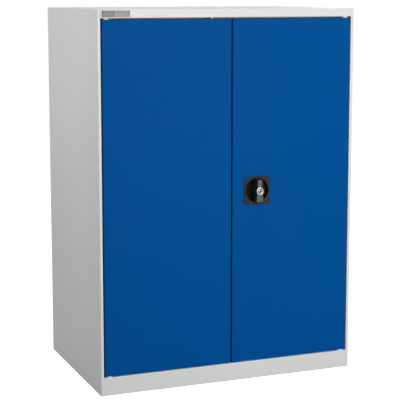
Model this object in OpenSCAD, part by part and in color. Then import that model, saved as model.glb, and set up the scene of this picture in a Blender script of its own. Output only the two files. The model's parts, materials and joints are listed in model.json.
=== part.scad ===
// Steel tool cabinet with two hinged doors, three shelves and a turning handle that locks both doors.
// Every module is drawn in the cabinet's own frame: X to the right, Y back from the front face of
// the closed doors (so depth is positive and what stands proud is negative) and Z up from the floor.
// in_frame() then centres the whole on the floor rectangle that it covers.

/* [Cabinet] */
// Overall width
cab_w = 725; // [650:5:800]
// Overall depth, without the handle
cab_d = 475; // [420:5:600]
// Overall height
cab_h = 1000; // [920:5:1200]
// Thickness of the sheet steel
sheet_t = 1; // [0.8:0.1:1.2]
// Inner radius of every bend
bend_r = 1; // [0.6:0.1:1.4]
// Width of the side panels' front edges, beside the doors
front_flange = 8.5; // [8:0.5:14]
// Depth of the jamb that each side panel folds back beside its door
jamb_depth = 34; // [32:1:40]
// Width of the folded edges that stiffen the panels
edge_fold = 15; // [12:1:20]
// Gap at the seams between panels
seam_gap = 0.2; // [0.1:0.05:0.4]
// Diameter of the two wall fixing holes in the back panel
wall_hole_d = 9; // [6:0.5:12]
// Distance between the wall fixing holes
wall_hole_pitch = 545; // [400:5:560]
// Drop of the wall fixing holes below the top
wall_hole_drop = 60; // [40:1:90]

/* [Rail and plinth] */
// Height of the top rail
top_rail_h = 22.5; // [22:0.5:40]
// Height of the plinth
plinth_h = 48; // [40:1:70]
// Rise of the cabinet floor above the plinth, which is also the lower door stop
sill_h = 16; // [15:1:18]
// Drop of the upper door stop below the rail
stop_lip = 15; // [14:1:20]

/* [Doors] */
// Gap round each door
door_gap = 3; // [2.6:0.1:4]
// Distance of the line where the doors meet, right of the middle
meet_x = 5; // [0:0.5:8]
// Gap where the two doors meet
meeting_gap = 3; // [2.6:0.1:4]
// Depth of the folded doors
door_depth = 24; // [24:0.5:26]
// Width of the lips folded in at the doors' backs
door_lip = 14; // [14:1:18]
// Width of the doors' stiffening channels
stiffener_w = 50; // [40:1:60]
// Depth of the stiffening channels
stiffener_depth = 16; // [12:0.5:18]
// Width of the channels' welding lips
stiffener_lip = 12; // [8:1:15]
// Distance that the stiffening channels stop short of the door's edges
stiffener_short = 20; // [15:1:40]

/* [Hinges] */
// Distance of the hinge axis from the door's outer edge
hinge_inset = 12.5; // [12:0.5:15]
// Distance of the hinge axis behind the door's front
hinge_back = 9; // [9:0.5:10]
// Diameter of the hinge pins
pin_d = 8; // [6:0.5:8.5]
// Thickness of the hinge pins' heads
pin_head_t = 2; // [1.5:0.5:3]
// Radial width of the hinge pins' heads
pin_head_rim = 2.5; // [1.5:0.5:3]
// Wall of the nylon bushes
bush_wall = 2; // [1.5:0.25:2.25]
// Radial width of the bushes' flanges
bush_rim = 2; // [1:0.25:2]
// Length of the bushes inside the door
bush_len = 12; // [8:1:16]
// Radial running clearance of pins, rods and spindles
run_clear = 0.05; // [0.03:0.01:0.08]
// Radial clearance of what is fixed in a hole
held_clear = 0.05; // [0.03:0.01:0.1]

/* [Shelves and uprights] */
// Depth of the folded shelves
shelf_t = 25; // [20:1:35]
// Width of the lips folded in under the shelves
shelf_lip = 12; // [10:1:16]
// Set-back of the shelves from the door stop
shelf_setback = 15; // [12:1:40]
// Gap between a shelf and the uprights
shelf_side_gap = 2; // [1:0.5:3]
// Slot that carries the lower shelf, counted from the bottom
lower_slot = 7; // [5:1:8]
// Slot that carries the middle shelf
middle_slot = 16; // [14:1:18]
// Slot that carries the upper shelf
upper_slot = 25; // [24:1:26]
// Width of the uprights
upright_w = 25; // [22:1:32]
// Depth of the uprights
upright_depth = 15; // [12:1:20]
// Thickness of the uprights
upright_t = 1.5; // [1.2:0.1:2]
// Width of the uprights' welding lips
upright_lip = 6; // [5:0.5:8]
// Distance of the front uprights behind the door stop, and of the rear ones before the back
upright_inset = 45; // [40:1:70]
// Spacing of the slots in the uprights
slot_pitch = 25; // [25:0.5:26]
// Width of the slots
slot_w = 3.2; // [3:0.1:4]
// Height of the slots
slot_h = 12; // [11:0.5:14]
// Height of the lowest slot above the cabinet floor
slot_start = 30; // [20:1:40]
// Thickness of the shelf clips
clip_t = 2; // [1.5:0.1:2.4]
// Length of the clips' ledges under the shelf
clip_ledge = 14; // [10:1:16]
// Height of the ledges above the foot of the slots that hold them
shelf_rise = 8; // [6:0.5:9]
// Gap between the shelves and the back
shelf_rear_gap = 10; // [6:1:20]
// Distance of the uprights' tops below the top panel's folds
upright_top_gap = 5; // [3:0.5:10]
// Least height of steel above the top slot
slot_top_margin = 10; // [6:1:16]
// Width of the upright that shows on each side of a clip
clip_side = 4; // [3:0.5:6]
// Distance that the clips' hooks reach down behind the web
hook_drop = 4; // [3:0.25:5]
// Play of the hooks up and down in their slots
hook_play = 3; // [2:0.25:4]
// Gap between the hooks and the web that they hold
hook_gap = 0.3; // [0.2:0.05:0.4]

/* [Handle] */
// Distance of the handle's axis from the right door's meeting edge
handle_inset = 71; // [68:0.5:84]
// Height of the handle's axis above the floor
handle_z = 518.5; // [450:0.5:580]
// Width and height of the handle plate
plate_w = 75; // [74:1:80]
// Thickness of the handle plate
plate_t = 3; // [2:0.5:4]
// Corner radius of the handle plate
plate_corner = 9; // [8:0.5:9]
// Step along the handle plate's edge
plate_step = 1.2; // [0.5:0.1:2]
// Inner diameter of the bowl that gives the fingers room
bowl_d = 64; // [60:1:64]
// Wall of the bowl
bowl_wall = 2; // [1.5:0.1:2.2]
// Depth of the bowl's back behind the door's front
bowl_depth = 11; // [10:0.25:11.5]
// Thickness of the bowl's floor
bowl_floor = 3; // [2:0.25:3.5]
// Radius round the bowl's floor
bowl_round = 1.5; // [1:0.1:2]
// Radius at the bowl's mouth
mouth_round = 1.4; // [0.8:0.1:1.8]
// Gap between the grip's ends and the bowl
grip_end_gap = 1.5; // [1:0.5:4]
// Gap between the grip and the bowl's floor
grip_floor_gap = 0.8; // [0.6:0.1:1.2]
// Width of the grip at its lower end
grip_w = 22; // [20:0.5:26]
// Width of the grip at its upper end
grip_top_w = 14; // [12:0.5:18]
// Width of the grip's rim round the lock cylinder's ring
grip_rim = 1; // [0.5:0.25:2]
// Distance that the grip stands in front of the doors
grip_proud = 23; // [20:0.5:26]
// Radius of the grip's front edges
grip_round = 3; // [1.5:0.25:3.5]
// Diameter of the grip's hub in the bowl floor
hub_d = 20; // [18:0.5:24]

/* [Lock cylinder] */
// Diameter of the lock cylinder's bright ring
ring_d = 20; // [19:0.25:21]
// Thickness of the ring in front of the grip
ring_t = 1; // [0.8:0.1:1.5]
// Diameter of the lock cylinder's barrel
barrel_d = 16; // [15:0.25:17]
// Length of the barrel in the grip
barrel_len = 20; // [16:0.5:21]
// Diameter of the turning plug
plug_d = 10; // [9:0.25:11]
// Distance of the plug's face behind the ring's
plug_sunk = 0.3; // [0.2:0.1:0.6]
// Width of the keyway
keyway_w = 2; // [1.5:0.1:2.4]
// Height of the keyway
keyway_h = 7; // [6:0.25:7.5]
// Depth of the keyway
keyway_depth = 12; // [8:0.5:14]

/* [Lock gear] */
// Gear module of the pinion and the racks
gear_module = 1.25; // [1.2:0.01:1.28]
// Number of teeth on the pinion, a multiple of four so that all three racks mesh alike
pinion_teeth = 16; // [16:4:16]
// Play between the teeth along the pitch line
backlash = 0.2; // [0.15:0.01:0.3]
// Thickness of the racks
rack_t = 4; // [3:0.1:4.1]
// Gap between the rod racks and the side bolt's rack
rack_gap = 0.8; // [0.5:0.1:0.9]
// Gap between the racks and the case on each side
rack_side_gap = 0.5; // [0.3:0.05:0.6]
// Width of the rod racks behind their teeth
bar_w = 6; // [5:0.25:6.5]
// Height of the side bolt behind its teeth
bolt_h = 7; // [5:0.25:9]
// Diameter of the lock rods
rod_d = 8; // [6:0.25:8.5]
// Distance of the drawn-in rods' ends inside the door's ends
rod_end_in = 3.5; // [3:0.25:5]
// Distance of the drawn-in side bolt's end inside the door's edge
bolt_end_in = 0.5; // [0.4:0.1:0.8]
// Clearance of bars in their slots
bar_clear = 0.15; // [0.1:0.01:0.3]
// Width of the openings in the rail and the plinth that take the rods
keep_w = 12; // [11:0.5:14]
// Distance of the rod guides from the door's ends
guide_drop = 60; // [40:1:100]
// Width of the rod guides
guide_w = 22; // [20:1:28]
// Height of the rod guides
guide_h = 14; // [10:1:20]
// Wall of the lock case
case_wall = 1.5; // [1.2:0.1:1.6]
// Thickness of the lock case's cover
cover_t = 1.5; // [1.2:0.1:2]
// Width across the flats of the spindle
square_w = 8; // [7:0.25:8.5]
// Diameter of the spindle's collar in the case
collar_d = 12.5; // [12.5:0.25:14]
// Diameter of the spindle's end in the cover
journal_d = 6; // [5:0.25:6.5]
// Diameter of the bosses on the handle plate
boss_d = 8; // [7:0.25:8.5]
// Diameter of the case screws
screw_d = 4; // [3:0.25:4.5]
// Length of the case screws in the bosses
screw_grip = 7; // [5:0.5:8]
// Diameter of the screw heads
screw_head_d = 7; // [6:0.25:8]
// Width of the case round its screw heads
case_margin = 2.5; // [2:0.25:3.5]
// Corner radius of the lock case
case_corner = 3; // [2:0.25:3.5]
// Gap between the bowl's back and the lock case
case_gap = 0.2; // [0.15:0.05:0.4]
// Height of the screw heads
screw_head_t = 2.2; // [1.8:0.1:2.6]

/* [Trim] */
// Width of the bare label plate on the top rail
label_w = 74; // [60:1:90]
// Height of the label plate
label_h = 16; // [14:0.5:19]
// Thickness of the label plate
label_t = 1.2; // [0.8:0.1:2]
// Distance of the label plate from the left end of the rail
label_inset = 4; // [1:0.5:6]
// Diameter of the rubber door buffers
buffer_d = 9; // [7:0.5:9.5]
// Distance of the inner buffers from the middle of the cabinet
buffer_inner = 40; // [30:1:60]
// Distance of the outer buffers from the jambs
buffer_outer = 60; // [40:1:90]
// Gap between the door and what it closes on
rest_gap = 0.2; // [0.1:0.05:0.3]
// Distance of the nylon catch from the middle of the cabinet
catch_inset = 50; // [40:1:70]
// Width of the catch
catch_w = 8; // [7:1:16]
// Depth of the catch
catch_depth = 14; // [10:1:16]
// Diameter of the catch's peg through the rail
catch_peg_d = 5; // [4:0.5:6]

/* [Hidden] */
$fn = 64;
// Short step that carries a cut past the face it opens
cut = 1;

body_grey = "#d2d5d1";
door_blue = "#0a4d94";
handle_black = "#26282b";
zinc = "#b9bdc2";
nylon = "#eceae2";
rubber = "#1d1d1e";
bright = "#d9dce0";

// Places across the front
half_w = cab_w / 2;
wall_x = half_w - sheet_t;
jamb_x = half_w - front_flange;
door_out_x = jamb_x - door_gap;
door_in_x = meet_x + meeting_gap / 2;
left_door_in_x = meeting_gap / 2 - meet_x;
hinge_x = door_out_x - hinge_inset;
lock_x = door_in_x + handle_inset;

// Places up the front
rail_z = cab_h - top_rail_h;
door_bottom_z = plinth_h + door_gap;
door_top_z = rail_z - door_gap;
door_h = door_top_z - door_bottom_z;
floor_z = plinth_h + sill_h;

// Places behind the front: the stops stand clear of the arc that the doors' back corners swing through
swing_clear = 1;
stop_y = hinge_back + norm([hinge_inset, door_depth - hinge_back]) + swing_clear;
return_y = stop_y + edge_fold;
back_y = cab_d - 2 * sheet_t;
handle_proud = grip_proud + ring_t;
front_y = (handle_proud - cab_d) / 2;

// Hinge bushes
bush_bore = pin_d + 2 * run_clear;
bush_d = bush_bore + 2 * bush_wall;
bush_flange_t = door_gap - rest_gap;

// Uprights, slots and shelves
upright_x = wall_x - upright_depth;
upright_face_x = upright_x - upright_t;
upright_top_z = cab_h - edge_fold - upright_top_gap;
front_upright_y = stop_y + upright_inset;
rear_upright_y = back_y - upright_inset;
slot_z0 = floor_z + slot_start;
slot_count = floor((upright_top_z - slot_h - slot_top_margin - slot_z0) / slot_pitch) + 1;
shelf_w = 2 * (upright_face_x - clip_t - shelf_side_gap);
shelf_y0 = stop_y + shelf_setback;
shelf_y1 = back_y - shelf_rear_gap;

// Handle and lock: depths run back from the bowl to the cover
boss_at = plate_w / 2 - plate_corner;
bowl_r = bowl_d / 2;
bowl_floor_y = bowl_depth - bowl_floor;
grip_r = bowl_r - grip_end_gap;
grip_back_y = bowl_floor_y - grip_floor_gap;
case_y = bowl_depth + case_gap;
rod_rack_y = case_y + case_wall + rack_side_gap;
bolt_rack_y = rod_rack_y + rack_t + rack_gap;
cover_y = bolt_rack_y + rack_t + rack_side_gap;
rod_y = rod_rack_y + rack_t / 2;
case_w = 2 * (boss_at + screw_head_d / 2 + case_margin);

// Pinion and racks
pitch_r = gear_module * pinion_teeth / 2;
pressure = 20;
base_r = pitch_r * cos(pressure);
addendum = 0.9 * gear_module;
dedendum = 1.2 * gear_module;
tip_r = pitch_r + addendum;
root_r = pitch_r - dedendum;
rack_pitch = PI * gear_module;
rack_back = pitch_r + dedendum;
rod_x = rack_back + bar_w / 2;
travel = pitch_r * PI / 2;
lead_teeth = 2;
trail_teeth = lead_teeth + round(travel / rack_pitch);
rack_end = (trail_teeth + 0.5) * rack_pitch;
bolt_z = handle_z - rack_back - bolt_h / 2;

// ---- Shapes ----

module in_frame() { translate([0, front_y, 0]) children(); }
module at_lock() { translate([lock_x, 0, handle_z]) children(); }
module both_sides() { children(); mirror([1, 0, 0]) children(); }

// Outline in X and Z, as thick as from one depth to the other
module plate_at(y0, y1) { translate([0, y1, 0]) rotate([90, 0, 0]) linear_extrude(y1 - y0) children(); }
// Outline in Y and Z, carried along X on both sides of the middle
module along_x(len) { rotate([90, 0, 90]) linear_extrude(len, center = true) children(); }
// Round bar along Y
module shaft(d, y0, y1) { translate([0, y0, 0]) rotate([-90, 0, 0]) cylinder(h = y1 - y0, d = d); }
// Square bar along Y
module square_bar(w, y0, y1) { translate([-w / 2, y0, -w / 2]) cube([w, y1 - y0, w]); }

function unit(v) = v / norm(v);
function left_of(v) = [-v[1], v[0]];
function cross2(a, b) = a[0] * b[1] - a[1] * b[0];
function reversed(v) = [for (i = [len(v) - 1 : -1 : 0]) v[i]];
function arc(centre, r, a0, a1, n = 8) =
    [for (i = [0 : n]) let (a = a0 + (a1 - a0) * i / n) centre + r * [cos(a), sin(a)]];

// One face of a bent sheet: the path is its outer face, and the sheet lies to the left of it
bend_steps = 5;
function bent_face(path, depth, t) = [
    for (i = [0 : len(path) - 1])
        let (
            a = i > 0 ? unit(path[i] - path[i - 1]) : unit(path[1] - path[0]),
            b = i < len(path) - 1 ? unit(path[i + 1] - path[i]) : a,
            turn = cross2(a, b),
            r = turn > 0 ? bend_r + t : bend_r,
            centre = path[i] + r * (b - a),
            rho = turn > 0 ? r - depth : r + depth
        )
        each abs(turn) < 0.5 ? [path[i] + depth * left_of(a)]
            : [for (k = [0 : bend_steps])
                let (w = 90 * k / bend_steps) centre + rho * (sin(w) * a - cos(w) * b)]
];
module bent_sheet(path, t = sheet_t) {
    polygon(concat(bent_face(path, 0, t), reversed(bent_face(path, t, t))));
}

// Profile with its two near corners rounded
module rounded_nose(w, depth, r) {
    translate([-w / 2, r]) square([w, depth - r]);
    translate([-w / 2 + r, 0]) square([w - 2 * r, 2 * r]);
    for (side = [-1, 1]) translate([side * (w / 2 - r), r]) circle(r);
}
// Block with the four edges of its near face rounded, near face at z = 0
module pressed_block(w, h, depth, r) {
    intersection() {
        rotate([90, 0, 0]) linear_extrude(h, center = true) rounded_nose(w, depth, r);
        along_x(w) rounded_nose(h, depth, r);
    }
}
// Folded pan: a face with four walls, and a lip turned in at the back of each wall
module folded_pan(w, h, depth, lip) {
    inner = 2 * sheet_t;
    difference() {
        pressed_block(w, h, depth, bend_r + sheet_t);
        translate([0, 0, sheet_t]) pressed_block(w - inner, h - inner, depth - inner, bend_r);
        translate([lip - w / 2, lip - h / 2, depth - sheet_t - cut])
            cube([w - 2 * lip, h - 2 * lip, sheet_t + 2 * cut]);
    }
}
module rounded_square(w, r) {
    square([w, w - 2 * r], center = true);
    square([w - 2 * r, w], center = true);
    for (x = [-1, 1], y = [-1, 1]) translate([x, y] * (w / 2 - r)) circle(r);
}

// ---- Carcass ----

module side_panel() {
    inner_x = wall_x - edge_fold;
    difference() {
        union() {
            linear_extrude(cab_h) bent_sheet([
                [jamb_x, jamb_depth], [jamb_x, 0], [half_w, 0], [half_w, cab_d], [half_w - edge_fold, cab_d]
            ]);
            translate([inner_x, jamb_depth + 3, 0])
                cube([edge_fold + sheet_t / 2, back_y - sheet_t - jamb_depth - 4, sheet_t]);
        }
        // The top panel drops in behind the front edge
        translate([jamb_x - cut, sheet_t, cab_h - sheet_t])
            cube([wall_x - jamb_x + cut, cab_d, sheet_t + cut]);
        translate([inner_x, cab_d - sheet_t - cut, cab_h - edge_fold - cut])
            cube([edge_fold, sheet_t + 2 * cut, edge_fold + 2 * cut]);
    }
}
module left_side_panel() { color(body_grey) in_frame() mirror([1, 0, 0]) side_panel(); }
module right_side_panel() { color(body_grey) in_frame() side_panel(); }

// Sheet that reaches past the jambs to the side walls, with an edge folded down along each
module panel_wings(top_z, y0, y1) {
    along_jamb = jamb_depth + seam_gap;
    translate([-wall_x, y0, top_z - sheet_t]) cube([2 * wall_x, y1 - y0, sheet_t]);
    both_sides() translate([wall_x - sheet_t, along_jamb, top_z - edge_fold])
        cube([sheet_t, back_y - sheet_t - along_jamb, edge_fold]);
}

module hinge_holes(z0, z1) {
    both_sides() translate([hinge_x, hinge_back, z0]) cylinder(h = z1 - z0, d = pin_d + 2 * held_clear);
}
module rod_keep(x, z0, z1) {
    translate([x - keep_w / 2, rod_y - keep_w / 2, z0]) cube([keep_w, keep_w, z1 - z0]);
}

module top_panel() {
    color(body_grey) in_frame() difference() {
        union() {
            along_x(2 * (jamb_x - seam_gap)) bent_sheet([
                [cab_d, cab_h - edge_fold], [cab_d, cab_h], [0, cab_h],
                [0, rail_z], [stop_y, rail_z], [stop_y, rail_z - stop_lip]
            ]);
            panel_wings(cab_h, sheet_t + seam_gap, cab_d);
        }
        hinge_holes(rail_z - cut, rail_z + sheet_t + cut);
        rod_keep(lock_x - rod_x, rail_z - cut, rail_z + sheet_t + cut);
        translate([-catch_inset, door_depth / 2, rail_z - cut])
            cylinder(h = sheet_t + 2 * cut, d = catch_peg_d + 2 * held_clear);
    }
}

module bottom_panel() {
    color(body_grey) in_frame() {
        along_x(2 * (jamb_x - seam_gap)) bent_sheet([
            [back_y, floor_z - edge_fold], [back_y, floor_z], [stop_y, floor_z],
            [stop_y, plinth_h], [return_y - 3, plinth_h]
        ]);
        panel_wings(floor_z, jamb_depth + seam_gap, back_y - bend_r - sheet_t);
    }
}

module plinth() {
    color(body_grey) in_frame() difference() {
        along_x(2 * (jamb_x - seam_gap)) bent_sheet([
            [return_y, plinth_h - edge_fold], [return_y, plinth_h], [0, plinth_h], [0, 0], [edge_fold, 0]
        ]);
        hinge_holes(plinth_h - sheet_t - cut, plinth_h + cut);
        rod_keep(lock_x + rod_x, plinth_h - sheet_t - cut, plinth_h + cut);
    }
}

module back_panel() {
    w = 2 * (wall_x - bend_r);
    color(body_grey) in_frame() difference() {
        translate([-w / 2, back_y, 0]) cube([w, sheet_t, cab_h - sheet_t - bend_r]);
        both_sides() translate([wall_hole_pitch / 2, 0, cab_h - wall_hole_drop])
            shaft(wall_hole_d, back_y - cut, cab_d);
    }
}

// ---- Uprights and shelves ----

function slot_z(number) = slot_z0 + slot_pitch * number;

module upright(y) {
    w = upright_w / 2;
    difference() {
        translate([0, y, floor_z]) linear_extrude(upright_top_z - floor_z) bent_sheet([
            [wall_x, -w - upright_lip], [wall_x, -w], [upright_x, -w],
            [upright_x, w], [wall_x, w], [wall_x, w + upright_lip]
        ], upright_t);
        for (i = [0 : slot_count - 1])
            translate([upright_face_x - cut, y - slot_w / 2, slot_z(i)])
                cube([upright_t + 2 * cut, slot_w, slot_h]);
    }
}
module front_left_upright() { color(body_grey) in_frame() mirror([1, 0, 0]) upright(front_upright_y); }
module rear_left_upright() { color(body_grey) in_frame() mirror([1, 0, 0]) upright(rear_upright_y); }
module front_right_upright() { color(body_grey) in_frame() upright(front_upright_y); }
module rear_right_upright() { color(body_grey) in_frame() upright(rear_upright_y); }

// The shelf rests on ledges that stand a little above the slots that hold them
function shelf_under_z(number) = slot_z(number) + shelf_rise + clip_t;

// Shelf: front and rear edges folded down and in, and a fold down at each end
module shelf(number) {
    z0 = shelf_under_z(number);
    z1 = z0 + shelf_t;
    color(body_grey) in_frame() {
        along_x(shelf_w) bent_sheet([
            [shelf_y1 - shelf_lip, z0], [shelf_y1, z0], [shelf_y1, z1],
            [shelf_y0, z1], [shelf_y0, z0], [shelf_y0 + shelf_lip, z0]
        ]);
        both_sides() translate([shelf_w / 2 - sheet_t, shelf_y0 + sheet_t / 2, z0])
            cube([sheet_t, shelf_y1 - shelf_y0 - sheet_t, shelf_t - sheet_t / 2]);
    }
}
module lower_shelf() { shelf(lower_slot); }
module middle_shelf() { shelf(middle_slot); }
module upper_shelf() { shelf(upper_slot); }

// Clip: an upright leg against the web, a ledge under the shelf, and two hooks behind the web
module shelf_clip(number) {
    leg_drop = slot_pitch + shelf_rise;
    hook_w = slot_w - 2 * bar_clear;
    hook_h = slot_h - hook_play;
    lift = hook_play / 3;
    tab_x = upright_x + hook_gap;
    ledge_z = shelf_under_z(number);
    translate([0, upright_w / 2 - clip_side, 0]) rotate([90, 0, 0]) linear_extrude(upright_w - 2 * clip_side)
        bent_sheet([
            [upright_face_x, ledge_z - leg_drop], [upright_face_x, ledge_z],
            [upright_face_x - clip_t - clip_ledge, ledge_z]
        ], clip_t);
    for (n = [number - 1, number]) {
        translate([upright_face_x - clip_t / 2, -hook_w / 2, slot_z(n) + lift])
            cube([tab_x - upright_face_x + clip_t * 1.5, hook_w, hook_h]);
        translate([tab_x, -hook_w / 2, slot_z(n) - hook_drop])
            cube([clip_t, hook_w, hook_h + hook_drop + lift]);
    }
}
module shelf_clips(number) {
    color(zinc) in_frame() both_sides()
        for (y = [front_upright_y, rear_upright_y]) translate([0, y, 0]) shelf_clip(number);
}
module lower_shelf_clips() { shelf_clips(lower_slot); }
module middle_shelf_clips() { shelf_clips(middle_slot); }
module upper_shelf_clips() { shelf_clips(upper_slot); }

// ---- Hinges, stops and trim on the carcass ----

// Pin with its head at z = 0 on the far side of the sheet that holds it
module hinge_pin() {
    reach = sheet_t + door_gap + bush_len;
    translate([0, 0, -pin_head_t]) cylinder(h = pin_head_t, d = pin_d + 2 * pin_head_rim);
    translate([0, 0, -pin_head_t / 2]) cylinder(h = reach + pin_head_t / 2, d = pin_d);
}
module hinge_pins() {
    color(zinc) in_frame() both_sides() translate([hinge_x, hinge_back, 0]) {
        translate([0, 0, plinth_h - sheet_t]) hinge_pin();
        translate([0, 0, rail_z + sheet_t]) rotate([180, 0, 0]) hinge_pin();
    }
}

module door_buffers() {
    color(rubber) in_frame() both_sides()
        for (x = [buffer_inner, jamb_x - buffer_outer],
             z = [plinth_h + (door_gap + sill_h) / 2, rail_z - (door_gap + stop_lip) / 2])
            translate([x, 0, z]) shaft(buffer_d, door_depth + rest_gap, stop_y);
}

module door_catch() {
    catch_h = door_gap - rest_gap;
    color(nylon) in_frame() translate([-catch_inset, door_depth / 2, rail_z]) {
        translate([-catch_w / 2, -catch_depth / 2, -catch_h]) cube([catch_w, catch_depth, catch_h]);
        translate([0, 0, -catch_h / 2]) cylinder(h = catch_h / 2 + sheet_t + 2, d = catch_peg_d);
    }
}

module label_plate() {
    color(handle_black) in_frame()
        translate([seam_gap + label_inset - jamb_x, 0, rail_z + (top_rail_h - label_h) / 2])
            plate_at(-label_t, 0) square([label_w, label_h]);
}

// ---- Doors ----

module bush_hole(z) {
    translate([hinge_x, hinge_back, z - cut]) cylinder(h = sheet_t + 2 * cut, d = bush_d + 2 * held_clear);
}
// Door on the right, with its meeting edge at in_x; the left one is drawn there too and mirrored
module door_pan(in_x) {
    difference() {
        translate([(in_x + door_out_x) / 2, 0, (door_bottom_z + door_top_z) / 2])
            rotate([-90, 0, 0]) folded_pan(door_out_x - in_x, door_h, door_depth, door_lip);
        bush_hole(door_bottom_z);
        bush_hole(door_top_z - sheet_t);
        // Slot in the meeting edge for the side bolt
        translate([in_x - cut, bolt_rack_y - 2 * bar_clear, bolt_z - bolt_h / 2 - 4 * bar_clear])
            cube([sheet_t + 2 * cut, rack_t + 4 * bar_clear, bolt_h + 8 * bar_clear]);
    }
}
module door_stiffener(in_x) {
    w = stiffener_w / 2;
    translate([(in_x + door_out_x) / 2, sheet_t, door_bottom_z + stiffener_short])
        linear_extrude(door_h - 2 * stiffener_short) bent_sheet([
            [-w - stiffener_lip, 0], [-w, 0], [-w, stiffener_depth],
            [w, stiffener_depth], [w, 0], [w + stiffener_lip, 0]
        ]);
}
// Bush with its flange outside the door, drawn for the lower end
module hinge_bush() {
    difference() {
        union() {
            translate([0, 0, -bush_flange_t]) cylinder(h = bush_flange_t, d = bush_d + 2 * bush_rim);
            translate([0, 0, -bush_flange_t / 2]) cylinder(h = bush_flange_t / 2 + bush_len, d = bush_d);
        }
        translate([0, 0, -bush_flange_t - cut])
            cylinder(h = bush_flange_t + bush_len + 2 * cut, d = bush_bore);
    }
}
module lower_bush() { translate([hinge_x, hinge_back, door_bottom_z]) hinge_bush(); }
module upper_bush() { translate([hinge_x, hinge_back, door_top_z]) rotate([180, 0, 0]) hinge_bush(); }

module left_door() { color(door_blue) in_frame() mirror([1, 0, 0]) door_pan(left_door_in_x); }
module left_door_stiffener() {
    color(door_blue) in_frame() mirror([1, 0, 0]) door_stiffener(left_door_in_x);
}
module left_upper_bush() { color(nylon) in_frame() mirror([1, 0, 0]) upper_bush(); }
module left_lower_bush() { color(nylon) in_frame() mirror([1, 0, 0]) lower_bush(); }

module right_door() {
    hole_clear = 0.5;
    color(door_blue) in_frame() difference() {
        door_pan(door_in_x);
        at_lock() {
            shaft(bowl_d + 2 * (bowl_wall + hole_clear), -cut, sheet_t + cut);
            at_bosses() shaft(boss_d + 2 * hole_clear, -cut, sheet_t + cut);
        }
        for (end = [[lock_x - rod_x, door_top_z - sheet_t], [lock_x + rod_x, door_bottom_z]])
            translate([end[0], rod_y, end[1] - cut])
                cylinder(h = sheet_t + 2 * cut, d = rod_d + 4 * bar_clear);
    }
}
module right_door_stiffener() { color(door_blue) in_frame() door_stiffener(door_in_x); }
module right_upper_bush() { color(nylon) in_frame() upper_bush(); }
module right_lower_bush() { color(nylon) in_frame() lower_bush(); }

// ---- Handle ----

module at_bosses() {
    for (x = [-1, 1], z = [-1, 1]) translate([x * boss_at, 0, z * boss_at]) children();
}

// Half section of the bowl's inside: mouth, wall, rounded foot and flat floor
module bowl_inside() {
    mouth = arc([bowl_r + mouth_round, mouth_round - plate_t], mouth_round, 270, 180);
    foot = arc([bowl_r - bowl_round, bowl_floor_y - bowl_round], bowl_round, 0, 90);
    rotate([-90, 0, 0]) rotate_extrude() polygon(concat(
        [[0, -plate_t - cut], [bowl_r + mouth_round, -plate_t - cut]], mouth, foot, [[0, bowl_floor_y]]
    ));
}

module handle_plate() {
    color(handle_black) in_frame() at_lock() difference() {
        union() {
            plate_at(plate_step - plate_t, 0) rounded_square(plate_w, plate_corner);
            plate_at(-plate_t, 0) rounded_square(plate_w - 2 * plate_step, plate_corner - plate_step);
            shaft(bowl_d + 2 * bowl_wall, -plate_t / 2, bowl_depth);
            at_bosses() shaft(boss_d, -plate_t / 2, case_y);
        }
        bowl_inside();
        shaft(hub_d + 2 * run_clear, 0, bowl_depth + cut);
        at_bosses() shaft(screw_d + 2 * held_clear, case_y - screw_grip - 1, case_y + cut);
    }
}

// Grip: a bar across the bowl, wider at its foot and round the lock cylinder, with round ends
// and eased front edges
module grip_bar() {
    front = -grip_proud;
    len = grip_back_y - front;
    rim_d = ring_d + 2 * grip_rim;
    w = max(grip_w, rim_d);
    intersection() {
        plate_at(front, grip_back_y) {
            intersection() {
                circle(grip_r);
                polygon([
                    [-grip_w / 2, -grip_r], [grip_w / 2, -grip_r],
                    [grip_top_w / 2, grip_r], [-grip_top_w / 2, grip_r]
                ]);
            }
            circle(d = rim_d);
        }
        translate([0, front, 0]) linear_extrude(2 * grip_r, center = true) rounded_nose(w, len, grip_round);
        translate([0, front, 0]) rotate([0, 90, 0]) linear_extrude(w, center = true)
            rounded_nose(2 * grip_r, len, 2 * grip_round);
    }
}
module handle_grip() {
    color(handle_black) in_frame() at_lock() difference() {
        union() {
            grip_bar();
            shaft(hub_d, grip_back_y - cut, bowl_depth);
        }
        shaft(barrel_d + 2 * held_clear, -grip_proud - cut, barrel_len - grip_proud);
        square_bar(square_w + 2 * held_clear, bowl_floor_y - 7, bowl_depth + cut);
    }
}

module lock_cylinder() {
    color(bright) in_frame() at_lock() difference() {
        union() {
            shaft(ring_d, -handle_proud, -grip_proud);
            shaft(barrel_d, -grip_proud - ring_t / 2, barrel_len - grip_proud);
        }
        shaft(plug_d + 2 * run_clear, -handle_proud - cut, barrel_len - grip_proud + cut);
    }
}
module lock_plug() {
    face = plug_sunk - handle_proud;
    color(bright) in_frame() at_lock() difference() {
        shaft(plug_d, face, barrel_len - grip_proud - cut);
        translate([-keyway_w / 2, face - cut, -keyway_h / 2])
            cube([keyway_w, keyway_depth + cut, keyway_h]);
    }
}

// ---- Lock ----

function involute(a) = tan(a) * 180 / PI - a;
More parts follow.
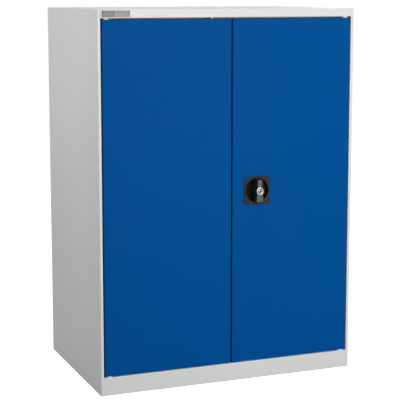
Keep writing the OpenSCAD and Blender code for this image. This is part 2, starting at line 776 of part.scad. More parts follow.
// Half the angle that a tooth fills at radius r
function half_tooth(r) =
    (rack_pitch / 2 - backlash / 2) / 2 / pitch_r * 180 / PI
    + involute(pressure) - involute(acos(base_r / r));
flank_steps = 5;
function flank(side, middle) = [
    for (i = [0 : flank_steps])
        let (r = base_r + (tip_r - base_r) * i / flank_steps, a = middle + side * half_tooth(r))
            r * [cos(a), sin(a)]
];
module pinion_outline() {
    tooth = 360 / pinion_teeth;
    foot = half_tooth(base_r);
    polygon([for (i = [0 : pinion_teeth - 1]) let (m = i * tooth) each concat(
        [root_r * [cos(m - foot), sin(m - foot)]], flank(-1, m),
        reversed(flank(1, m)), [root_r * [cos(m + foot), sin(m + foot)]]
    )]);
}
module lock_pinion() {
    color(zinc) in_frame() at_lock() difference() {
        plate_at(rod_rack_y - rack_side_gap / 2, cover_y - rack_side_gap / 2) pinion_outline();
        square_bar(square_w + 2 * held_clear, case_y, cover_y + cut);
    }
}

module lock_spindle() {
    color(zinc) in_frame() at_lock() {
        square_bar(square_w, bowl_floor_y - 6.8, cover_y - rack_side_gap / 2);
        shaft(collar_d, bowl_depth + 0.1, case_y + case_wall);
        shaft(journal_d, cover_y - cut, cover_y + cover_t);
    }
}

// Rack standing left of the pinion, which moves up as the pinion turns clockwise seen from the front
module rack_outline(w, reach) {
    half_gap = rack_pitch / 4 - backlash / 4;
    slope = tan(pressure);
    teeth = [for (k = [-trail_teeth : lead_teeth - 1]) let (m = (k + 0.5) * rack_pitch) each [
        [-rack_back, m - half_gap - dedendum * slope],
        [-pitch_r + addendum, m - half_gap + addendum * slope],
        [-pitch_r + addendum, m + half_gap - addendum * slope],
        [-rack_back, m + half_gap + dedendum * slope]
    ]];
    polygon(concat([[-rack_back, -rack_end]], teeth, [
        [-rack_back, reach], [-rack_back - w, reach], [-rack_back - w, -rack_end]
    ]));
}

// Rod with its rack, drawn for the one that rises to the rail
module lock_rod(reach) {
    flat_end = case_w / 2 + travel + 2;
    tip = 2;
    plate_at(rod_rack_y, rod_rack_y + rack_t) rack_outline(bar_w, flat_end + 6);
    translate([-rod_x, rod_y, flat_end - travel]) {
        cylinder(h = reach - flat_end + travel - tip, d = rod_d);
        translate([0, 0, reach - flat_end + travel - tip]) cylinder(h = tip, d1 = rod_d, d2 = rod_d - tip);
    }
}
module upper_rod() { color(zinc) in_frame() at_lock() lock_rod(door_top_z - rod_end_in - handle_z); }
module lower_rod() {
    color(zinc) in_frame() at_lock() rotate([0, 180, 0]) lock_rod(handle_z - door_bottom_z - rod_end_in);
}
module side_bolt() {
    color(zinc) in_frame() at_lock() rotate([0, -90, 0])
        plate_at(bolt_rack_y, bolt_rack_y + rack_t) rack_outline(bolt_h, handle_inset - bolt_end_in);
}

module lock_case() {
    inside = case_w - 2 * case_wall;
    slot_t = rack_t + 2 * bar_clear;
    color(zinc) in_frame() at_lock() difference() {
        plate_at(case_y, cover_y) rounded_square(case_w, case_corner);
        plate_at(case_y + case_wall, cover_y + cut) rounded_square(inside, case_corner - case_wall);
        shaft(collar_d + 2 * run_clear, case_y - cut, cover_y);
        at_bosses() shaft(screw_d + 2 * held_clear, case_y - cut, cover_y);
        // Ways out for the two rods and the side bolt
        for (end = [-1, 1])
            translate([-end * rod_x, rod_y, end * (case_w - case_wall) / 2])
                cube([bar_w + 2 * bar_clear, slot_t, 2 * case_wall], center = true);
        translate([-(case_w - case_wall) / 2, bolt_rack_y + rack_t / 2, -rack_back - bolt_h / 2])
            cube([2 * case_wall, slot_t, bolt_h + 2 * bar_clear], center = true);
    }
}
module lock_cover() {
    color(zinc) in_frame() at_lock() difference() {
        plate_at(cover_y, cover_y + cover_t) rounded_square(case_w, case_corner);
        shaft(journal_d + 2 * run_clear, cover_y - cut, cover_y + cover_t + cut);
        at_bosses() shaft(screw_d + 2 * held_clear, cover_y - cut, cover_y + cover_t + cut);
    }
}
module lock_screws() {
    head_y = cover_y + cover_t;
    color(zinc) in_frame() at_lock() at_bosses() {
        shaft(screw_d, case_y - screw_grip, head_y + screw_head_t / 2);
        shaft(screw_head_d, head_y, head_y + screw_head_t);
    }
}

// Nylon block on the back of the door's face that steadies a rod
module rod_guide(x, z) {
    back = rod_y + rod_d / 2 + 3;
    color(nylon) in_frame() translate([x, 0, z]) difference() {
        translate([-guide_w / 2, sheet_t, -guide_h / 2]) cube([guide_w, back - sheet_t, guide_h]);
        translate([0, rod_y, -guide_h / 2 - cut])
            cylinder(h = guide_h + 2 * cut, d = rod_d + 2 * run_clear);
    }
}
module upper_rod_guide() { rod_guide(lock_x - rod_x, door_top_z - guide_drop); }
module lower_rod_guide() { rod_guide(lock_x + rod_x, door_bottom_z + guide_drop); }

left_side_panel();
right_side_panel();
top_panel();
bottom_panel();
plinth();
back_panel();
front_left_upright();
rear_left_upright();
front_right_upright();
rear_right_upright();
lower_shelf();
middle_shelf();
upper_shelf();
lower_shelf_clips();
middle_shelf_clips();
upper_shelf_clips();
hinge_pins();
door_buffers();
door_catch();
label_plate();
left_door();
left_door_stiffener();
left_upper_bush();
left_lower_bush();
right_door();
right_door_stiffener();
right_upper_bush();
right_lower_bush();
handle_plate();
handle_grip();
lock_cylinder();
lock_plug();
lock_spindle();
lock_pinion();
upper_rod();
lower_rod();
side_bolt();
lock_case();
lock_cover();
lock_screws();
upper_rod_guide();
lower_rod_guide();
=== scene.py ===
"""Steel tool cabinet with two blue doors: its visible pieces, their finishes and the studio."""

from __future__ import annotations

import json
import logging
import math
from contextlib import contextmanager
from dataclasses import dataclass, field
from enum import Enum
from typing import Callable, Iterator, Sequence

import bmesh
import bpy
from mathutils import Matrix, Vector

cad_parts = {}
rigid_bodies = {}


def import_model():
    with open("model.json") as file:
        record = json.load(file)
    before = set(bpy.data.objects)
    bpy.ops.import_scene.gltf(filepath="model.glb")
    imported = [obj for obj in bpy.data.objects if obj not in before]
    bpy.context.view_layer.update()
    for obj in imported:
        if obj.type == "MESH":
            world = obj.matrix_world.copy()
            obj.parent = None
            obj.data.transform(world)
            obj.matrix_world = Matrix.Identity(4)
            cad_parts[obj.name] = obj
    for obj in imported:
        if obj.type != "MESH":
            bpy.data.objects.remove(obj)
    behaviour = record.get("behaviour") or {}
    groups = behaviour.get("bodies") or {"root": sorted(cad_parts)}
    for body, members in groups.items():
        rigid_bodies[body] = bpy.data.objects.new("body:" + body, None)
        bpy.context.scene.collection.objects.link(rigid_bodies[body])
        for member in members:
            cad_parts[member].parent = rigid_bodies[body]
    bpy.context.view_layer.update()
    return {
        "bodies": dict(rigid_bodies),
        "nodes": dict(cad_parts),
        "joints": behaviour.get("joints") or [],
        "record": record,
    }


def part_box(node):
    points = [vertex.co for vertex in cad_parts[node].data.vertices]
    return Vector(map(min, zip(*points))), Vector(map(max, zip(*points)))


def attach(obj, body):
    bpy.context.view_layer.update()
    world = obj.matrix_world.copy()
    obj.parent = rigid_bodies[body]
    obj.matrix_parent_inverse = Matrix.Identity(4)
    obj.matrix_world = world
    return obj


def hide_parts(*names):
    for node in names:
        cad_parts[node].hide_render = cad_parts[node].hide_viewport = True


LOG = logging.getLogger("tool_cabinet")
MM = 0.001
FRONT = Vector((0.0, -1.0, 0.0))
BACK = Vector((0.0, 1.0, 0.0))
DOWN = Vector((0.0, 0.0, -1.0))
WHITE = (1.0, 1.0, 1.0, 1.0)

# Two directions count as one when the cosine between them is above these.
FACING = 0.99
PARALLEL = 0.999
# Metres: two levels, two heights and two places count as one below these.
SAME_LEVEL = 1e-5
SAME_HEIGHT = 2e-7
SAME_PLACE = 1e-6
HEIGHT_DIGITS = 7
# Metres: farther than any edge of the cabinet.
NO_LIMIT = 1e3
# Degrees: an edge sharper than this stays sharp when a piece is shaded.
SHARP_EDGE = 32.0

Triple = tuple[float, float, float]
Span = tuple[float, float]
Piece = bpy.types.Object
Socket = bpy.types.NodeSocket
EdgeTest = Callable[[bmesh.types.BMEdge], bool]


class Axis(Enum):
    """The directions that a rod or a corner edge can run along."""

    Y = 1
    Z = 2

    @property
    def turn(self) -> Triple:
        """Give the turn that lays an upright rod along this direction."""
        return (math.pi / 2, 0.0, 0.0) if self is Axis.Y else (0.0, 0.0, 0.0)


@dataclass(frozen=True)
class Rounding:
    """A rounded edge: its radius in millimetres and how many faces it has."""

    radius: float
    steps: int


# ---------------------------------------------------------------------------
# Modelling bench
# ---------------------------------------------------------------------------


class Bench:
    """The modelling operators, with the selection kept clean before each of them."""

    def clear(self) -> None:
        """Leave edit mode and deselect every object."""
        active = bpy.context.view_layer.objects.active
        if active is not None and active.mode != "OBJECT":
            bpy.ops.object.mode_set(mode="OBJECT")
        bpy.ops.object.select_all(action="DESELECT")

    def only(self, piece: Piece) -> None:
        """Select one piece and make it the active one.

        Args:
            piece: The piece that the next operator works on.
        """
        self.clear()
        piece.select_set(True)
        bpy.context.view_layer.objects.active = piece

    def block(self, name: str, low: Vector, high: Vector) -> Piece:
        """Add a box between two corners.

        Args:
            name: The piece's name.
            low: Its lowest corner, in metres.
            high: Its highest corner.

        Returns:
            The box, with its place in its mesh.
        """
        self.clear()
        bpy.ops.mesh.primitive_cube_add(size=1.0, location=(low + high) / 2, scale=high - low)
        return self._settle(name)

    def rod(
        self, name: str, centre: Vector, radius: float, ends: Span, sides: int,
        axis: Axis = Axis.Y,
    ) -> Piece:
        """Add a round rod along one axis.

        Args:
            name: The piece's name.
            centre: A point on the rod's middle line, in metres.
            radius: The rod's radius.
            ends: Where it starts and where it ends along the axis, from the point.
            sides: How many flats stand for the circle.
            axis: The direction that it runs along.

        Returns:
            The rod, with its place in its mesh.
        """
        self.clear()
        start, end = ends
        middle = centre.copy()
        middle[axis.value] += (start + end) / 2
        bpy.ops.mesh.primitive_cylinder_add(
            vertices=sides, radius=radius, depth=abs(end - start),
            location=middle, rotation=axis.turn,
        )
        return self._settle(name)

    def _settle(self, name: str) -> Piece:
        """Name the new primitive and move its place into its mesh.

        Args:
            name: The piece's name.

        Returns:
            The piece.
        """
        piece = bpy.context.active_object
        piece.name = piece.data.name = name
        bpy.ops.object.transform_apply(location=True, rotation=True, scale=True)
        return piece

    @contextmanager
    def editing(self, piece: Piece, mode: str = "EDGE") -> Iterator[bmesh.types.BMesh]:
        """Open a piece in edit mode with nothing selected.

        Args:
            piece: The piece to edit.
            mode: What is selected in it, VERT, EDGE or FACE.

        Yields:
            The piece's mesh, whose parts are then selected in code.
        """
        self.only(piece)
        bpy.ops.object.mode_set(mode="EDIT")
        bpy.ops.mesh.select_mode(type=mode)
        bpy.ops.mesh.select_all(action="DESELECT")
        yield bmesh.from_edit_mesh(piece.data)
        bpy.ops.object.mode_set(mode="OBJECT")

    def bevel(self, piece: Piece, test: EdgeTest, rounding: Rounding) -> None:
        """Round the edges that pass a test.

        Args:
            piece: The piece to round.
            test: Says of an edge whether it is rounded.
            rounding: The radius and the faces that each edge gets.
        """
        with self.editing(piece) as mesh:
            for edge in mesh.edges:
                edge.select_set(test(edge))
            bmesh.update_edit_mesh(piece.data)
            bpy.ops.mesh.bevel(
                offset=rounding.radius * MM, offset_type="OFFSET", segments=rounding.steps,
                profile=0.5, affect="EDGES", clamp_overlap=True,
            )

    def slice(self, piece: Piece, point: Vector, normal: Triple) -> None:
        """Add edges where a plane crosses a piece, and keep both sides.

        Args:
            piece: The piece to slice.
            point: A point of the plane, in metres.
            normal: The direction square to the plane.
        """
        with self.editing(piece):
            bpy.ops.mesh.select_all(action="SELECT")
            bpy.ops.mesh.bisect(plane_co=point, plane_no=normal)

    @staticmethod
    def rim(
        outward: Vector, level: float, centre: Vector | None = None, reach: Span = (0.0, NO_LIMIT)
    ) -> EdgeTest:
        """Name the edges where a flat face meets what falls away from it.

        Args:
            outward: The way that the flat face looks.
            level: How far along that way it lies, in metres.
            centre: A point that the edges' distance is taken from.
            reach: The least and the greatest distance from that point, across the way out.

        Returns:
            A test for those edges.
        """

        def is_flat(face: bmesh.types.BMFace) -> bool:
            """Say whether a face belongs to the flat one."""
            height = face.calc_center_median().dot(outward)
            return face.normal.dot(outward) > FACING and abs(height - level) < SAME_LEVEL

        def test(edge: bmesh.types.BMEdge) -> bool:
            """Say whether an edge bounds the flat face within reach.

            Args:
                edge: The edge to look at.

            Returns:
                Whether it does.
            """
            flat = [is_flat(face) for face in edge.link_faces]
            if len(flat) != 2 or flat[0] == flat[1]:
                return False
            if centre is None:
                return True
            middle = (edge.verts[0].co + edge.verts[1].co) / 2 - centre
            away = (middle - outward * middle.dot(outward)).length
            return reach[0] <= away <= reach[1]

        return test

    @staticmethod
    def along(axis: Axis) -> EdgeTest:
        """Name the corner edges that run along one axis.

        Args:
            axis: The direction of the edges.

        Returns:
            A test for those edges.
        """

        def test(edge: bmesh.types.BMEdge) -> bool:
            """Say whether an edge runs along the axis."""
            way = edge.verts[1].co - edge.verts[0].co
            return abs(way[axis.value]) > PARALLEL * way.length

        return test

    def _combine(self, piece: Piece, tool: Piece, how: str) -> None:
        """Apply a boolean of one piece with another, which is used up.

        Args:
            piece: The piece that is changed.
            tool: The other piece.
            how: DIFFERENCE or UNION.
        """
        self.only(piece)
        step = piece.modifiers.new("combine", "BOOLEAN")
        step.operation, step.solver, step.object = how, "EXACT", tool
        bpy.ops.object.modifier_apply(modifier=step.name)
        bpy.data.objects.remove(tool, do_unlink=True)

    def cut(self, piece: Piece, tool: Piece) -> None:
        """Take the tool's shape out of the piece."""
        self._combine(piece, tool, "DIFFERENCE")

    def weld(self, piece: Piece, tool: Piece) -> None:
        """Make the tool's shape part of the piece."""
        self._combine(piece, tool, "UNION")

    def spread(self, piece: Piece, offsets: Sequence[Vector]) -> None:
        """Copy a piece to several places and join the copies to it.

        Args:
            piece: The first of them, which stays where it is.
            offsets: How far each copy is moved from it.
        """
        copies = []
        for offset in offsets:
            self.only(piece)
            bpy.ops.object.duplicate(linked=False)
            copy = bpy.context.active_object
            copy.location = offset
            bpy.ops.object.transform_apply(location=True, rotation=False, scale=False)
            copies.append(copy)
        self.only(piece)
        for copy in copies:
            copy.select_set(True)
        bpy.ops.object.join()

    def smooth(self, piece: Piece) -> None:
        """Shade a piece smoothly, except across its sharper edges."""
        self.only(piece)
        bpy.ops.object.shade_smooth_by_angle(angle=math.radians(SHARP_EDGE))


# ---------------------------------------------------------------------------
# Finishes
# ---------------------------------------------------------------------------


class Wiring:
    """One material's node tree, with short ways to add nodes and link them."""

    def __init__(self, name: str) -> None:
        """Start a material whose surface is one shader.

        Args:
            name: The material's name.
        """
        self.material = bpy.data.materials.new(name)
        self.material.use_nodes = True
        self.tree = self.material.node_tree
        self.shader = self.tree.nodes["Principled BSDF"]
        self.place = self.tree.nodes.new("ShaderNodeTexCoord").outputs["Object"]

    def set(self, **values: float) -> None:
        """Set constant values on the shader's own sockets.

        Args:
            **values: Each socket's name, with _ for a space, and its value.
        """
        for name, value in values.items():
            self.shader.inputs[name.replace("_", " ")].default_value = value

    def noise(self, scale: float, detail: float = 3.0, stretch: Triple | None = None) -> Socket:
        """Add a noise on the piece's own coordinates.

        Args:
            scale: How many lumps there are to a metre.
            detail: How many finer layers it has.
            stretch: Factors for X, Y and Z that draw the noise out.

        Returns:
            The noise's value, from 0 to 1.
        """
        place = self.place
        if stretch is not None:
            mapping = self.tree.nodes.new("ShaderNodeMapping")
            mapping.inputs["Scale"].default_value = stretch
            self.tree.links.new(place, mapping.inputs["Vector"])
            place = mapping.outputs["Vector"]
        node = self.tree.nodes.new("ShaderNodeTexNoise")
        node.inputs["Scale"].default_value = scale
        node.inputs["Detail"].default_value = detail
        self.tree.links.new(place, node.inputs["Vector"])
        return node.outputs["Fac"]

    def span(
        self, value: Socket, low: float = 0.0, high: float = 1.0, limits: Span = (0.3, 0.7)
    ) -> Socket:
        """Turn a noise into a value between two others.

        Args:
            value: The noise.
            low: The value where the noise is at its first limit.
            high: The value where it is at its second limit.
            limits: The noise that gives the low value, and the noise that gives the high one.

        Returns:
            The value between the two.
        """
        node = self.tree.nodes.new("ShaderNodeMapRange")
        numbers = {"From Min": limits[0], "From Max": limits[1], "To Min": low, "To Max": high}
        for name, number in numbers.items():
            node.inputs[name].default_value = number
        self.tree.links.new(value, node.inputs["Value"])
        return node.outputs["Result"]

    def tint(self, share: Socket, first: Triple | Socket, second: Triple) -> Socket:
        """Mix two colours by a share.

        Args:
            share: 0 for the first colour and 1 for the second.
            first: The first colour, fixed or mixed before.
            second: The second colour.

        Returns:
            The mixed colour.
        """
        node = self.tree.nodes.new("ShaderNodeMix")
        node.data_type = "RGBA"
        if isinstance(first, tuple):
            node.inputs["A"].default_value = (*first, 1.0)
        else:
            self.tree.links.new(first, node.inputs["A"])
        node.inputs["B"].default_value = (*second, 1.0)
        self.tree.links.new(share, node.inputs["Factor"])
        return node.outputs["Result"]

    def colour(self, value: Socket) -> None:
        """Give the surface its colour."""
        self.tree.links.new(value, self.shader.inputs["Base Color"])

    def roughen(self, value: Socket, roughness: float, drift: Span) -> None:
        """Let the surface's roughness follow a noise.

        Args:
            value: The noise.
            roughness: The middle roughness.
            drift: How far the roughness goes below and above it.
        """
        result = self.span(value, roughness + drift[0], roughness + drift[1])
        self.tree.links.new(result, self.shader.inputs["Roughness"])

    def bumps(self, *layers: tuple[Socket, Span]) -> None:
        """Give the surface its relief.

        Args:
            *layers: For each layer its height, and its strength with its depth in metres.
        """
        below = None
        for height, (strength, depth) in layers:
            node = self.tree.nodes.new("ShaderNodeBump")
            node.inputs["Strength"].default_value = strength
            node.inputs["Distance"].default_value = depth
            self.tree.links.new(height, node.inputs["Height"])
            if below is not None:
                self.tree.links.new(below, node.inputs["Normal"])
            below = node.outputs["Normal"]
        self.tree.links.new(below, self.shader.inputs["Normal"])


def shade_of(colour: Triple, factor: float) -> Triple:
    """Make a colour lighter or darker by a factor."""
    return tuple(min(1.0, part * factor) for part in colour)


@dataclass(frozen=True)
class PowderCoat:
    """Baked powder paint on sheet steel: an even colour with the fine waves of orange peel.

    Clouds, specks, peel and patches are counted to a metre, and depths are in metres.
    """

    name: str
    colour: Triple
    roughness: float = 0.42
    gloss: float = 0.35
    unevenness: float = 0.025
    clouds: float = 3.0
    specks: float = 2600.0
    speck_limits: Span = (0.62, 0.8)
    speck_share: float = 0.05
    speck_tone: float = 0.75
    speck_relief: Span = (0.10, 0.00004)
    peel: float = 520.0
    peel_relief: Span = (0.22, 0.00012)
    patches: float = 38.0
    patch_drift: Span = (-0.03, 0.04)

    def material(self) -> bpy.types.Material:
        """Build the paint's material.

        Returns:
            The material.
        """
        wires = Wiring(self.name)
        wires.set(Metallic=0.0, Specular_IOR_Level=self.gloss)
        cloud = wires.noise(self.clouds, detail=2.0)
        speck = wires.noise(self.specks, detail=1.0)
        low, high = (shade_of(self.colour, 1 + way * self.unevenness) for way in (-1, 1))
        mottled = wires.tint(wires.span(cloud), low, high)
        dots = wires.span(speck, 0.0, self.speck_share, self.speck_limits)
        wires.colour(wires.tint(dots, mottled, shade_of(self.colour, self.speck_tone)))
        peel = wires.noise(self.peel, detail=2.0)
        wires.roughen(wires.noise(self.patches), self.roughness, self.patch_drift)
        wires.bumps((peel, self.peel_relief), (speck, self.speck_relief))
        return wires.material


@dataclass(frozen=True)
class MouldedPlastic:
    """Moulded plastic with the fine grain of a spark-eroded mould.

    Grains and tones are counted to a metre, and the grain's depth is in metres.
    """

    name: str
    colour: Triple
    roughness: float = 0.45
    gloss: float = 0.5
    grain: float = 1900.0
    relief: float = 0.25
    grain_depth: float = 0.00005
    grain_drift: Span = (-0.05, 0.06)
    tones: float = 60.0
    tone_limits: Span = (0.92, 1.1)

    def material(self) -> bpy.types.Material:
        """Build the plastic's material.

        Returns:
            The material.
        """
        wires = Wiring(self.name)
        wires.set(Metallic=0.0, Specular_IOR_Level=self.gloss)
        grain = wires.noise(self.grain, detail=2.0)
        dark, pale = (shade_of(self.colour, limit) for limit in self.tone_limits)
        wires.colour(wires.tint(wires.span(wires.noise(self.tones)), dark, pale))
        wires.roughen(grain, self.roughness, self.grain_drift)
        wires.bumps((grain, (self.relief, self.grain_depth)))
        return wires.material


@dataclass(frozen=True)
class PlatedSteel:
    """Steel with a bright plated skin, brushed one way and a little clouded.

    Clouds and lines are counted to a metre, and the lines' depth is in metres.
    """

    name: str
    colour: Triple
    roughness: float = 0.3
    clouding: float = 0.08
    brushed: Triple = (1.0, 1.0, 0.06)
    relief: float = 0.15
    clouds: float = 45.0
    cloud_light: float = 1.03
    lines: float = 2200.0
    line_depth: float = 0.00002
    line_drift: Span = (-0.07, 0.09)

    def material(self) -> bpy.types.Material:
        """Build the plated steel's material.

        Returns:
            The material.
        """
        wires = Wiring(self.name)
        wires.set(Metallic=1.0)
        cloud = wires.span(wires.noise(self.clouds, detail=4.0))
        red, green, blue = self.colour
        warm = (red * (1 + self.clouding), green, blue * (1 - self.clouding))
        dull = shade_of(self.colour, 1 - self.clouding)
        wires.colour(wires.tint(cloud, dull, shade_of(warm, self.cloud_light)))
        lines = wires.noise(self.lines, detail=2.0, stretch=self.brushed)
        wires.roughen(lines, self.roughness, self.line_drift)
        wires.bumps((lines, (self.relief, self.line_depth)))
        return wires.material


@dataclass(frozen=True)
class Rubber:
    """Black rubber: matt, with a chalky bloom.

    Blooms, patches and grains are counted to a metre, and the grain's depth is in metres.
    """

    name: str
    colour: Triple
    gloss: float = 0.3
    blooms: float = 90.0
    bloom_tone: float = 1.9
    roughness: float = 0.8
    patches: float = 400.0
    patch_drift: Span = (-0.08, 0.08)
    grain: float = 1500.0
    grain_relief: Span = (0.3, 0.00006)

    def material(self) -> bpy.types.Material:
        """Build the rubber's material.

        Returns:
            The material.
        """
        wires = Wiring(self.name)
        wires.set(Metallic=0.0, Specular_IOR_Level=self.gloss)
        bloom = wires.span(wires.noise(self.blooms, detail=4.0))
        wires.colour(wires.tint(bloom, self.colour, shade_of(self.colour, self.bloom_tone)))
        wires.roughen(wires.noise(self.patches), self.roughness, self.patch_drift)
        wires.bumps((wires.noise(self.grain), self.grain_relief))
        return wires.material


class Paint(Enum):
    """The finishes on this cabinet. The bowl's and the lock core's carry painted shade, the ring's
    a painted dark reflection, and the grip's partly painted light.
    """

    BODY = PowderCoat("body_grey_paint", (0.690, 0.705, 0.690))
    DOOR = PowderCoat(
        "door_blue_paint", (0.0, 0.078, 0.297), roughness=0.5, gloss=0.02, unevenness=0.02
    )
    HANDLE = MouldedPlastic(
        "handle_black_plastic", (0.008, 0.009, 0.0105), roughness=0.5, gloss=0.16
    )
    # The bowl's inside: the handle's plastic made darker and duller, as painted shade in the
    # recess.
    BOWL = MouldedPlastic("bowl_painted_shade_plastic", (0.003, 0.003, 0.0035), roughness=0.6, gloss=0.06)
    # The grip: the handle's plastic made lighter and glossier, partly its own greyer tone and
    # partly painted light on its front.
    GRIP = MouldedPlastic("grip_painted_light_plastic", (0.024, 0.023, 0.022), roughness=0.38, gloss=0.45)
    NYLON = MouldedPlastic(
        "white_nylon", (0.80, 0.79, 0.74), roughness=0.4, grain=900.0, relief=0.08
    )
    LABEL_DARK = MouldedPlastic(
        "label_black", (0.016, 0.016, 0.018), roughness=0.3, grain=1200.0, relief=0.08
    )
    LABEL_GREY = MouldedPlastic(
        "label_grey", (0.20, 0.20, 0.18), roughness=0.4, grain=1200.0, relief=0.08
    )
    ZINC = PlatedSteel("zinc_plated_steel", (0.62, 0.64, 0.66))
    # The ring: chrome made far darker than chrome is, as a painted dark reflection of the
    # surroundings.
    CHROME = PlatedSteel(
        "chrome_ring_painted_dark", (0.2, 0.204, 0.212),
        roughness=0.2, clouding=0.02, brushed=(1.0, 1.0, 1.0), relief=0.04,
    )
    # The lock core: plated metal made dark as painted shade in the sunk plug.
    LOCK_CORE = PlatedSteel(
        "lock_core_painted_shade", (0.16, 0.16, 0.165),
        roughness=0.3, clouding=0.05, brushed=(1.0, 1.0, 0.2), relief=0.1,
    )
    RUBBER = Rubber("black_rubber", (0.018, 0.018, 0.018))


class PaintShop:
    """Makes each finish's material once and puts it on pieces."""

    def __init__(self) -> None:
        """Start with no material made."""
        self.made: dict[Paint, bpy.types.Material] = {}

    def get(self, paint: Paint) -> bpy.types.Material:
        """Give a finish's material, made on its first use.

        Args:
            paint: The finish.

        Returns:
            Its material.
        """
        if paint not in self.made:
            self.made[paint] = paint.value.material()
        return self.made[paint]

    def coat(self, piece: Piece, *paints: Paint) -> None:
        """Put finishes on a piece in place of what it has.

        Args:
            piece: The piece to dress.
            *paints: Its finishes, in the order of its material slots.
        """
        piece.data.materials.clear()
        for paint in paints:
            piece.data.materials.append(self.get(paint))


# ---------------------------------------------------------------------------
# Sub-assemblies
# ---------------------------------------------------------------------------


@dataclass
class SubAssembly:
    """A group of pieces that are made on one bench and dressed in one paint shop."""

    bench: Bench
    shop: PaintShop

    def deliver(
        self, piece: Piece, body: str, slot: str, nodes: Sequence[str], *paints: Paint
    ) -> None:
        """Shade and dress a finished piece, and hang it on its body.

        Args:
            piece: The finished piece.
            body: The body that it moves with.
            slot: The record's material slot of the piece; not used.
            nodes: The solids that it stands for.
            *paints: Its finishes.
        """
        self.bench.smooth(piece)
        self.shop.coat(piece, *paints)
        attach(piece, body)
        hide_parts(*nodes)
        LOG.info("made %s, which moves with %s", piece.name, body)


@dataclass
class TurningHandle(SubAssembly):
    """Handle plate with its finger bowl, the grip, the lock cylinder and its plug.

    Sizes are in millimetres, from the point where the handle's axis meets the doors' front.
    The bowl and the ring have round_sides flats, and the other bars small_sides. A cutter
    stands past the surface that it cuts, and a welded piece past its joint, by the overlap.
    """

    plate_width: float = 75.0
    plate_thickness: float = 3.0
    plate_corner: Rounding = Rounding(9.0, 10)
    plate_edge: Rounding = Rounding(1.2, 4)
    bowl_radius: float = 32.0
    bowl_wall: float = 2.0
    bowl_back: float = 11.0
    bowl_floor: float = 8.0
    bowl_foot: Rounding = Rounding(1.5, 4)
    bowl_mouth: Rounding = Rounding(1.4, 4)
    # How far past the bowl's radius the painted shade reaches.
    bowl_shade_past: float = 0.2
    boss_at: float = 28.5
    boss_radius: float = 4.0
    boss_end: float = 11.2
    boss_sides: int = 32
    grip_foot: float = 22.0
    grip_top: float = 14.0
    grip_reach: float = 30.5
    grip_front: float = -23.0
    grip_back: float = 7.2
    grip_edge: Rounding = Rounding(3.2, 6)
    grip_end: float = 5.0
    grip_end_fullness: float = 0.96
    grip_end_draw: float = 0.8
    grip_end_slices: tuple[float, ...] = (1.0, 2.5, 4.5, 7.5, 12.5)
    grip_waist_slices: tuple[float, ...] = (*range(-11, 13, 2), 15.0)
    collar: float = 11.0
    hub_radius: float = 10.0
    socket_half: float = 4.0
    socket_front: float = 1.0
    socket_back: float = 12.0
    ring_radius: float = 10.0
    ring_front: float = -24.0
    ring_edge: Rounding = Rounding(0.45, 4)
    ring_dish: Rounding = Rounding(2.2, 3)
    barrel_radius: float = 8.0
    barrel_back: float = -3.0
    barrel_overlap: float = 0.5
    bore_front: float = -30.0
    plug_radius: float = 5.0
    plug_sunk: float = 0.3
    plug_back: float = -4.0
    plug_edge: Rounding = Rounding(0.35, 3)
    key_slot: Triple = (2.0, 7.0, 12.0)
    ward_overlap: float = 0.1
    ward_width: float = 0.7
    ward_low: float = 0.4
    ward_high: float = 1.6
    play: float = 0.05
    overlap: float = 1.0
    mouth_slack: float = 0.5
    ring_slack: float = 0.3
    round_sides: int = 96
    small_sides: int = 64
    axis: Vector = field(default_factory=Vector)

    def at(self, x: float, y: float, z: float) -> Vector:
        """Turn millimetres from the handle's axis into metres in the cabinet's frame."""
        return self.axis + Vector((x, y, z)) * MM

    def level(self, y: float) -> float:
        """Give how far forward a plane across the axis lies, in metres."""
        return -self.at(0, y, 0).y

    def bar(self, name: str, radius: float, start: float, end: float, sides: int) -> Piece:
        """Add a round bar on the handle's axis."""
        return self.bench.rod(name, self.axis, radius * MM, (start * MM, end * MM), sides)

    def circle(self, y: float, radius: float, slack: float) -> EdgeTest:
        """Name the edges of a circle on a plane that looks forward.

        Args:
            y: The plane's place along the axis, in millimetres.
            radius: The circle's radius.
            slack: How far an edge may lie from the circle.

        Returns:
            A test for those edges.
        """
        reach = (radius - slack) * MM, (radius + slack) * MM
        return self.bench.rim(FRONT, self.level(y), self.axis, reach)

    def make_plate(self) -> Piece:
        """Model the plate with the round bowl sunk in it and four bosses behind.

        Returns:
            The finished plate.
        """
        bench, half, front = self.bench, self.plate_width / 2, -self.plate_thickness
        inner = front / 2
        plate = bench.block(
            "handle_plate_moulding", self.at(-half, front, -half), self.at(half, 0, half)
        )
        bench.bevel(plate, bench.along(Axis.Y), self.plate_corner)
        bench.bevel(plate, bench.rim(FRONT, self.level(front)), self.plate_edge)
        outer = self.bowl_radius + self.bowl_wall
        bench.weld(plate, self.bar("bowl", outer, inner, self.bowl_back, self.round_sides))
        ends = inner * MM, self.boss_end * MM
        for x in (-self.boss_at, self.boss_at):
            for z in (-self.boss_at, self.boss_at):
                place = self.at(x, 0, z)
                boss = bench.rod("boss", place, self.boss_radius * MM, ends, self.boss_sides)
                bench.weld(plate, boss)
        inside = self.bar(
            "bowl_inside", self.bowl_radius, front - self.overlap, self.bowl_floor, self.round_sides
        )
        bench.bevel(inside, bench.rim(BACK, -self.level(self.bowl_floor)), self.bowl_foot)
        bench.cut(plate, inside)
        mouth = self.circle(front, self.bowl_radius, self.mouth_slack)
        bench.bevel(plate, mouth, self.bowl_mouth)
        hub, end = self.hub_radius + self.play, self.bowl_back + self.overlap
        bench.cut(plate, self.bar("hub_hole", hub, 0, end, self.small_sides))
        return plate

    def paint_bowl_shade(self, plate: Piece) -> None:
        """Paint shade into the bowl's inside with the plate's second finish, a darker and duller
        copy of its plastic.

        Args:
            plate: The finished plate, dressed with its own finish and the bowl's painted shade.
        """
        radius = self.bowl_radius + self.bowl_shade_past
        mouth = self.bowl_mouth.radius - self.plate_thickness
        for face in plate.data.polygons:
            place = (face.center - self.axis) / MM
            face.material_index = int(place.xz.length < radius and place.y > mouth)

